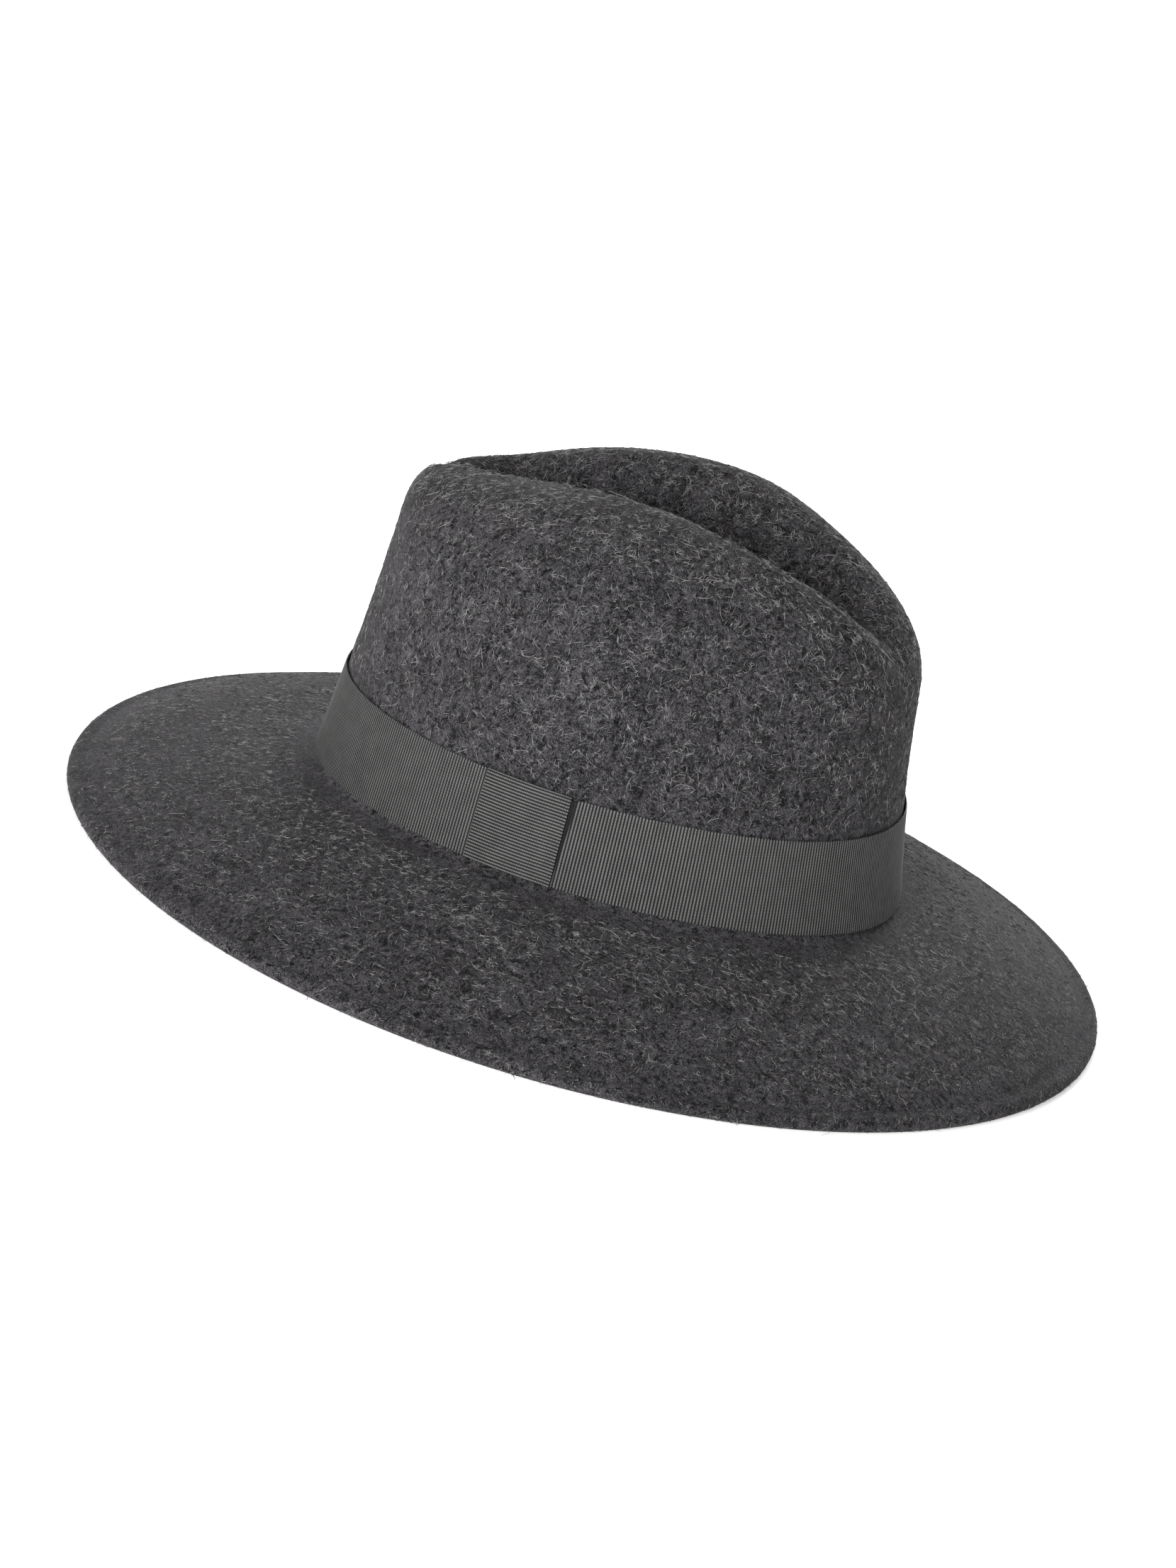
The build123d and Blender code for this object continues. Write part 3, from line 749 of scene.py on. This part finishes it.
def keeper_piece():
    """A flat strip of the same ribbon round the band's join, its cords level."""
    face, back, cords, across = keeper_faces()
    rows = np.concatenate([face, back[::-1]])
    made = closed_strip("keeper", rows, RIBBON_LOOK, ["ribbon_keeper"])
    both = np.concatenate([cords, cords[::-1]])
    uv = np.stack(np.broadcast_arrays(both[:, None] - 0.5, across[None, :]), -1)
    set_uv(made, uv.reshape(-1, 2))


band_piece()
keeper_piece()


# ---------------- inside the crown
SWEAT, SWEAT_FOOT, SWEAT_WIDTH = 1.0, 3.5, 33.0
SWEAT_TOP = SWEAT_FOOT + SWEAT_WIDTH
SEAM_HALF_GAP, SWEAT_RADIUS = 0.6, 95   # the seam's gap, and a radius that makes lengths turns
PATCH_COLUMNS, PATCH_LEVELS = 33, 25
REED_AWAY, REED_HEIGHT, TAPE_RADIUS = 0.3, 2.1, 1.2     # the reed's middle, from the sweatband's face

sweat_ring = Ring("sweatband", np.linspace(SWEAT_FOOT + 0.4, SWEAT_TOP - 0.4, 7), inside=True)


def section_rows(ring, turns, section):
    """Rows of a section of (away, height) points along a ring's turns."""
    away, height = np.array(section).T
    points, out, _ = ring.grid(turns, height)
    return points + away[:, None, None] * out


def back_turns(low, high, count):
    """Turns whose places run from low to high along x at the back of the hat."""
    fine = np.linspace(math.pi - 0.7, math.pi + 0.7, 400)
    x = sweat_ring.points(fine, np.array([SWEAT_FOOT + SWEAT_WIDTH / 2]))[0, :, 0]
    order = np.argsort(x)
    return np.interp(np.linspace(low, high, count), x[order], fine[order])


def sweatband_piece():
    """The leather band: rolled top, tooled line, a lower edge turned over the reed's tape."""
    gap = SEAM_HALF_GAP / SWEAT_RADIUS
    turns, length = even_turns(sweat_ring, SWEAT_FOOT + 16, -math.pi + gap, math.pi - gap, 2.4)
    face = [(0.35, SWEAT_FOOT), (0.08, SWEAT_FOOT + 0.25), (0.0, SWEAT_FOOT + 0.8)]
    face += [(0.12, SWEAT_FOOT + 1.3), (0.0, SWEAT_FOOT + 1.9)]
    face += [(0.0, z) for z in np.linspace(SWEAT_FOOT + 4, SWEAT_TOP - 4, 9)]
    tooled = SWEAT_TOP - 2.8
    face += [(0.0, tooled - 0.5), (0.16, tooled), (0.0, tooled + 0.5), (0.0, SWEAT_TOP - 0.6)]
    top = arc(SWEAT / 2, 180, 0, 5, (SWEAT / 2, SWEAT_TOP - SWEAT / 2))
    back = [(SWEAT, z) for z in np.linspace(SWEAT_TOP - 2, SWEAT_FOOT + 0.6, 7)]
    section = face + top + back + [(SWEAT - 0.3, SWEAT_FOOT)]
    rows = section_rows(sweat_ring, turns, section)
    height = np.array(section)[:, 1]
    loose = np.clip((height - SWEAT_FOOT - 8) / 25, 0, 1)[:, None] ** 2
    ripple = 0.16 * np.sin(5 * turns + 0.6) + 0.1 * np.sin(11 * turns)
    _, out, _ = sweat_ring.grid(turns, height)
    rows = rows + (loose * np.minimum(ripple, 0.25)[None, :])[..., None] * out
    closed_strip("sweatband_leather", rows, LEATHER_LOOK, ["sweatband"])


def reed_tape_piece():
    """Cloth tape folded round the reed, its two edges meeting above it."""
    turns = np.linspace(-math.pi, math.pi, 361)[:-1]
    swing = np.radians(np.linspace(-80, 260, 22))
    away = REED_AWAY + TAPE_RADIUS * np.cos(swing + math.radians(180))
    height = REED_HEIGHT + TAPE_RADIUS * np.sin(swing + math.radians(180))
    outer = np.stack([away, height], -1)
    middle = np.array([REED_AWAY, REED_HEIGHT])
    inner = middle + (outer - middle) * (0.85 / TAPE_RADIUS)
    rows = section_rows(sweat_ring, turns, np.concatenate([outer, inner[::-1]]))
    ruck = 0.06 * np.sin(150 * turns) * np.sin(7 * turns)
    rows[: len(outer), :, 2] += ruck
    count, columns = rows.shape[:2]
    faces = lattice(count, columns, across=True, round_=True)
    piece("reed_tape", rows.reshape(-1, 3), faces, TAPE_LOOK, ["sweatband_reed_tape"])


def flat_patch(name, x_span, z_span, away, thick, material, node, hem=1.2):
    """A thin patch on the sweatband's face at the back, a little thicker at its turned hem."""
    turns = back_turns(*x_span, PATCH_COLUMNS)
    levels = np.linspace(*z_span, PATCH_LEVELS)
    points, out, _ = sweat_ring.grid(turns, levels)
    x = np.linspace(*x_span, PATCH_COLUMNS)
    from_sides = np.minimum(x - x_span[0], x_span[1] - x)
    edge = np.minimum.outer(np.minimum(levels - z_span[0], z_span[1] - levels), from_sides)
    puff = np.where(edge < 0.05, -0.5 * thick, np.where(edge < hem, 0.12, 0.0))
    face = points - (away + thick + puff)[..., None] * out
    back = points - away * out
    rows = np.concatenate([face, back[::-1]])
    closed_strip(name, rows, material, [node])


def ribbon_strip(line, half_width, thick, lean=0.0):
    """A narrow upright ribbon along a plan line, as rows of a round section."""
    line = np.asarray(line, float)
    way = np.gradient(line, axis=0)
    way /= np.linalg.norm(way, axis=1, keepdims=True)
    side = np.stack([way[:, 1], -way[:, 0], 0 * way[:, 0]], -1)
    half_width = np.broadcast_to(half_width, len(line))
    flat = np.stack([line[:, 0], line[:, 1], lean * np.linspace(0, 1, len(line))], -1)
    rows = []
    for face in (1, -1):
        for share in np.linspace(-face, face, 7):
            away = face * thick / 2 + 0.25 * (1 - share * share)
            rows.append(flat + side * away + np.array([0, 0, 1]) * (share * half_width)[:, None])
    return np.stack(rows)


def bow_piece():
    """A narrow ribbon tied in a flat bow: two loops, two tails and a knot, all one piece."""
    low, high = (np.array(c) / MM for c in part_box("sweatband_bow"))
    middle = (low + high) / 2
    centre = np.array([middle[0], high[1] - 2.6, middle[2]])
    turn = np.linspace(0, 2 * math.pi, 37)[1:-1]
    solids = []
    for side in (-1, 1):
        bulge = 2.2 * np.sin(turn) * np.sin(turn / 2) ** 0.4
        loop = np.stack([side * (6.5 - 6.3 * np.cos(turn)), bulge], -1)
        solids.append(ribbon_strip(loop, 1.0 + 0.9 * np.sin(turn / 2), 0.35))
        share = np.linspace(0, 1, 14)
        droop = -0.9 - 4.6 * share + 1.3 * np.sin(math.pi * share)
        tail = np.stack([side * (0.8 + 7.4 * share), droop], -1)
        solids.append(ribbon_strip(tail, 1.2 + 0.7 * share, 0.35, lean=-1.0))
    ring = np.linspace(0, 2 * math.pi, 19)
    wrap = np.stack([1.5 * np.cos(ring), 2.0 * np.sin(ring)], -1)
    solids.append(ribbon_strip(wrap, 1.9, 0.4))
    points, faces = [], []
    for rows in solids:
        faces += strip_faces(*rows.shape[:2], base=len(points))
        points += (rows.reshape(-1, 3) + centre).tolist()
    piece("back_bow", points, faces, BOW_LOOK, ["sweatband_bow"])


# ---------------- threads and fibres
def tubes(paths, radii, sides):
    """Points and faces of closed tubes: paths is fibres x points x 3, radii fibres x points."""
    way = np.gradient(paths, axis=1)
    way /= np.maximum(np.linalg.norm(way, axis=-1, keepdims=True), 1e-9)
    guide = np.where(np.abs(way[..., 2:3]) < 0.8, [0, 0, 1.0], [1.0, 0, 0])
    first = np.cross(way, guide)
    first /= np.linalg.norm(first, axis=-1, keepdims=True)
    second = np.cross(way, first)
    fibres, steps = paths.shape[:2]
    turn = np.arange(sides) * 2 * math.pi / sides
    ring = first[:, :, None] * np.cos(turn)[:, None] + second[:, :, None] * np.sin(turn)[:, None]
    points = paths[:, :, None] + radii[:, :, None, None] * ring
    pattern = lattice(steps, sides, across=True)
    pattern += [tuple(range(sides))[::-1], tuple((steps - 1) * sides + k for k in range(sides))]
    quads = np.array(pattern[:-2])
    offset = np.arange(fibres) * steps * sides
    faces = (quads[None] + offset[:, None, None]).reshape(-1, 4).tolist()
    for cap in pattern[-2:]:
        faces += (np.array(cap)[None] + offset[:, None]).tolist()
    return points.reshape(-1, 3), faces


def thread_piece(name, starts, ends, bulge, radius, node):
    """Stitches, each a short thread that bows out from start to end and sinks in at both."""
    share = np.linspace(0, 1, 9)
    sink = np.sin(math.pi * share)[None, :, None]
    paths = starts[:, None] * (1 - share)[None, :, None] + ends[:, None] * share[None, :, None]
    paths = paths + bulge[:, None] * sink**0.7
    radii = np.full(paths.shape[:2], radius)
    points, faces = tubes(paths, radii, 6)
    piece(name, points, faces, THREAD_LOOK, [node])


def edge_stitches():
    """Slanted stitches under the brim, from the turned-under felt to the brim."""
    count = 90
    turns = (np.arange(count) + 0.5) * 2 * math.pi / count
    lean = 0.35 * math.pi / count
    lip = edge_points(turns - lean, [(1.0 - LIP_REACH, -SLIT - LIP_FELT + 0.1)])[0]
    brim = edge_points(turns + lean, [(-LIP_REACH - 2.2, SLIT + 0.2)])[0]
    down = edge_points(turns, [(-LIP_REACH, -1.0)])[0] - edge_points(turns, [(-LIP_REACH, 0.0)])[0]
    thread_piece("edge_stitch_threads", lip, brim, down * 0.75, 0.16, "brim_edge_stitches")


def sweatband_threads():
    """A running stitch along the sweatband's lower edge."""
    count = 72
    turns = (np.arange(count) + 0.5) * 2 * math.pi / count
    half = 1.5 / SWEAT_RADIUS
    level = np.array([SWEAT_FOOT + 1.3])
    starts, out, _ = sweat_ring.grid(turns - half, level)
    ends = sweat_ring.grid(turns + half, level)[0]
    starts, ends = starts[0] + 0.5 * out[0], ends[0] + 0.5 * out[0]
    thread_piece("sweatband_threads", starts, ends, -0.8 * out[0], 0.17, "sweatband_stitches")


def ribbon_tacks():
    """Small tacks along both edges of the ribbon, each over one cord."""
    turns = np.radians(np.arange(7.5, 360, 15) - 180)
    turns = turns[np.abs(turns - KEEPER_TURN) > 0.3]
    starts, ends, bulges = [], [], []
    for z in (RIBBON_FOOT + 1.0, RIBBON_TOP - 1.0):
        left, out, _ = band_ring.grid(turns - 0.005, np.array([z]))
        right = band_ring.grid(turns + 0.005, np.array([z]))[0]
        starts.append(left[0] - 0.5 * out[0])
        ends.append(right[0] - 0.5 * out[0])
        bulges.append(0.62 * out[0])
    stacked = [np.concatenate(part) for part in (starts, ends, bulges)]
    thread_piece("ribbon_tack_threads", *stacked, 0.13, "ribbon_tack_stitches")


sweatband_piece()
reed_tape_piece()
seam_levels, label_levels = (SWEAT_FOOT + 1, SWEAT_TOP - 1), (SWEAT_FOOT + 9, SWEAT_TOP - 6)
flat_patch("seam_tape", (-6, 6), seam_levels, 0.1, 0.4, SEAM_LOOK, "sweatband_seam_tape")
flat_patch("blank_label", (12, 44), label_levels, 0.1, 0.35, LABEL_LOOK, "size_label")
bow_piece()
edge_stitches()
sweatband_threads()
ribbon_tacks()


# ---------------- nap
SEED = 20
FIBRE_STEPS = 9
FIBRES_EACH = 3950                  # per piece
FIBRE_RADIUS = 0.075
NAP_LONG = (5.2, 0.3)               # a fibre's length and lift, where NAP_SHORT has no other
NAP_EDGE_ROWS = 24                  # rows of the rolled edge that bear fibres
BRIM_NAP_STARTS = 92                # from the hat's middle, at its side


def nap_piece(name, grid, count, length, lift, radius, seed):
    """Wool fibres that lie in curls on part of the felt, tapered, each rooted under its surface."""
    rng = np.random.default_rng(seed)
    a, b, c, d = grid[:-1, :-1], grid[:-1, 1:], grid[1:, :-1], grid[1:, 1:]
    cross = np.cross(b - a, c - a)
    area = np.linalg.norm(cross, axis=-1)
    share = area.ravel() / area.sum()
    chosen = rng.choice(share.size, count, p=share)
    r, k = np.unravel_index(chosen, area.shape)
    u, v = rng.random((2, count, 1))
    root = (a[r, k] * (1 - u) + b[r, k] * u) * (1 - v) + (c[r, k] * (1 - u) + d[r, k] * u) * v
    normal = cross[r, k] / area[r, k][:, None]
    first = (b - a)[r, k]
    first -= (first * normal).sum(-1, keepdims=True) * normal
    first /= np.linalg.norm(first, axis=-1, keepdims=True)
    second = np.cross(normal, first)
    steps = np.linspace(0, 1, FIBRE_STEPS)
    size = length * (0.5 + rng.gamma(2.0, 0.35, (count, 1)))
    start = rng.uniform(0, 2 * math.pi, (count, 1))
    bend = rng.normal(0, 1.8, (count, 1))
    wave = rng.normal(0, 1.1, (count, 1))
    heading = start + bend * steps + wave * np.sin(2.2 * math.pi * steps)
    stride = size / (FIBRE_STEPS - 1)
    x = np.concatenate([np.zeros((count, 1)), np.cumsum(np.cos(heading[:, 1:]) * stride, axis=1)], axis=1)
    y = np.concatenate([np.zeros((count, 1)), np.cumsum(np.sin(heading[:, 1:]) * stride, axis=1)], axis=1)
    rise = lift * rng.gamma(1.6, 0.6, (count, 1))
    free = rng.uniform(0.3, 1.0, (count, 1))
    high = -0.12 + rise * np.sin(math.pi * steps * free) + 0.12 * steps
    paths = root[:, None] + x[..., None] * first[:, None] + y[..., None] * second[:, None]
    paths = paths + high[..., None] * normal[:, None]
    paths[..., 2] = np.maximum(paths[..., 2], 0.1)
    radii = radius * rng.uniform(0.7, 1.3, (count, 1)) * np.sqrt(1.05 - steps**2)
    points, faces = tubes(paths, radii, 3)
    piece(name, points, faces, FIBRE_LOOK)


def fibre_look():
    """Single wool fibres, from charcoal to pale grey."""
    look = Look("wool_fibre")
    place = look.millimetres()
    tone = look.noise(place, 0.45, 1.0)
    colour = look.mix(look.span(tone, 0.36, 0.62), grey(0.03), grey(0.28, 0.015))
    return look.finish(Base_Color=colour, Roughness=0.8, Specular_IOR_Level=0.1)


FIBRE_LOOK = fibre_look()
full_rows = hand_shaped(whole(rows))
full_rows = np.concatenate([full_rows, full_rows[:, :1]], axis=1)
side_line = rows[:outer_rows, HALF_COLUMNS // 2]
wall_end = int(np.argmin(np.abs(side_line[:, 2] - BREAK_HEIGHT - RIBBON_TOP)))
brim_start = int(np.argmin(np.abs(np.abs(side_line[:, 0]) - BRIM_NAP_STARTS)))
HALF_CROWN = wall_end // 2
HALF_BRIM = (brim_start + outer_rows) // 2
NAP_ROWS = {
    "nap_crown_top": (0, HALF_CROWN),
    "nap_crown_side": (HALF_CROWN, wall_end),
    "nap_brim_inner": (brim_start, HALF_BRIM),
    "nap_brim_outer": (HALF_BRIM, outer_rows),
}
NAP_SHORT = {"nap_brim_outer": (3.6, 0.25), "nap": (1.8, 0.2)}
NAP_SIDES = {"left": slice(0, HALF_COLUMNS), "right": slice(HALF_COLUMNS - 1, None)}
parts = {
    f"{name}_{side}": full_rows[start:end, columns]
    for name, (start, end) in NAP_ROWS.items()
    for side, columns in NAP_SIDES.items()
}
parts["nap_edge"] = full_rows[outer_rows : outer_rows + NAP_EDGE_ROWS]
for number, (name, part) in enumerate(parts.items()):
    length, lift = NAP_SHORT.get(name.rsplit("_", 1)[0], NAP_LONG)
    nap_piece(name, part, FIBRES_EACH, length, lift, FIBRE_RADIUS, SEED + number)


LOOKS = {
    "brim_wire": WIRE_LOOK,
    "brim_wire_sleeve": SLEEVE_LOOK,
    "sweatband_reed": REED_LOOK,
}
for node, material in LOOKS.items():
    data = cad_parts[node].data
    data.materials.clear()
    data.materials.append(material)


# ---------------- camera, light and floor
AIM = Vector((0.0, -0.0018, 0.0302))            # middle of the ribbon's lower edge
TOWARD = Vector((-0.8853, -0.3135, 0.3435))     # from there to the camera
DISTANCE = 1.683
ROLL = math.radians(14.76)
LENS, SENSOR = 116.2, 36.0
OFF_RIGHT, OFF_UP = -0.00665, 0.00946           # where the view's middle lies from AIM


def camera_frame():
    """The camera's right, up and backward directions."""
    back = TOWARD.normalized()
    level = Vector((0, 0, 1)).cross(back).normalized()
    upright = back.cross(level)
    right = level * math.cos(ROLL) + upright * math.sin(ROLL)
    return right, back.cross(right), back


def make_camera():
    """The camera, and the scene's use of it."""
    right, up, back = camera_frame()
    data = bpy.data.cameras.new("camera")
    data.lens, data.sensor_width = LENS, SENSOR
    data.clip_start, data.clip_end = 0.05, 20.0
    camera = bpy.data.objects.new("camera", data)
    place = AIM + DISTANCE * back
    look = (place - (AIM + OFF_RIGHT * right + OFF_UP * up)).normalized()
    side = up.cross(look).normalized()
    turn = Matrix((side, look.cross(side), look)).transposed()
    camera.matrix_world = Matrix.Translation(place) @ turn.to_4x4()
    bpy.context.scene.collection.objects.link(camera)
    bpy.context.scene.camera = camera


def soft_box(name, place, size, power):
    """A square light that faces the hat."""
    data = bpy.data.lights.new(name, "AREA")
    data.shape, data.size, data.energy = "SQUARE", size, power
    lamp = bpy.data.objects.new(name, data)
    place = Vector(place)
    turn = (place - AIM).to_track_quat("Z", "Y").to_matrix().to_4x4()
    lamp.matrix_world = Matrix.Translation(place) @ turn
    bpy.context.scene.collection.objects.link(lamp)


def make_sky():
    """A white studio wall low round the set, and a dim ceiling."""
    world = bpy.data.worlds.new("studio")
    world.use_nodes = True
    nodes, links = world.node_tree.nodes, world.node_tree.links
    sky = nodes["Background"]
    height = nodes.new("ShaderNodeSeparateXYZ")
    ramp = nodes.new("ShaderNodeMapRange")
    links.new(nodes.new("ShaderNodeTexCoord").outputs["Generated"], height.inputs[0])
    links.new(height.outputs["Z"], ramp.inputs["Value"])
    for key, value in {"From Min": 0.03, "From Max": 0.18, "To Min": 1.0, "To Max": 0.04}.items():
        ramp.inputs[key].default_value = value
    links.new(ramp.outputs["Result"], sky.inputs["Strength"])
    sky.inputs["Color"].default_value = (1.0, 0.995, 0.985, 1)
    bpy.context.scene.world = world


def make_floor():
    """A plain white floor that glows a little more where the lamps fall away."""
    mesh = bpy.data.meshes.new("floor")
    half = 8.0
    corners = [(-half, -half, 0), (half, -half, 0), (half, half, 0), (-half, half, 0)]
    mesh.from_pydata(corners, [], [(0, 1, 2, 3)])
    floor = bpy.data.objects.new("floor", mesh)
    look = Look("pale_floor")
    place = look.add("TexCoord").outputs["Object"]
    away = look.add("VectorMath", {0: place}, operation="LENGTH").outputs["Value"]
    glow = look.span(away, 0.05, 0.45, 0.3, 0.95)
    white, lit = grey(0.9, 0.004), grey(1.0, 0.004)
    look.finish(Base_Color=white, Roughness=0.9, Emission_Color=lit, Emission_Strength=glow)
    mesh.materials.append(look.material)
    bpy.context.scene.collection.objects.link(floor)


def make_studio():
    """Three lamps, the sky and the floor."""
    right, _, back = camera_frame()
    level = Vector((back.x, back.y, 0)).normalized()
    soft_box("key", AIM + level * 1.35 - right * 0.42 + Vector((0, 0, 0.58)), 0.8, 34)
    soft_box("back", AIM - level * 1.3 + right * 0.25 + Vector((0, 0, 0.42)), 1.0, 31)
    soft_box("top", AIM + Vector((0, 0, 1.5)), 1.0, 4)
    make_sky()
    make_floor()
    bpy.context.scene.view_settings.view_transform = "Standard"


make_camera()
make_studio()
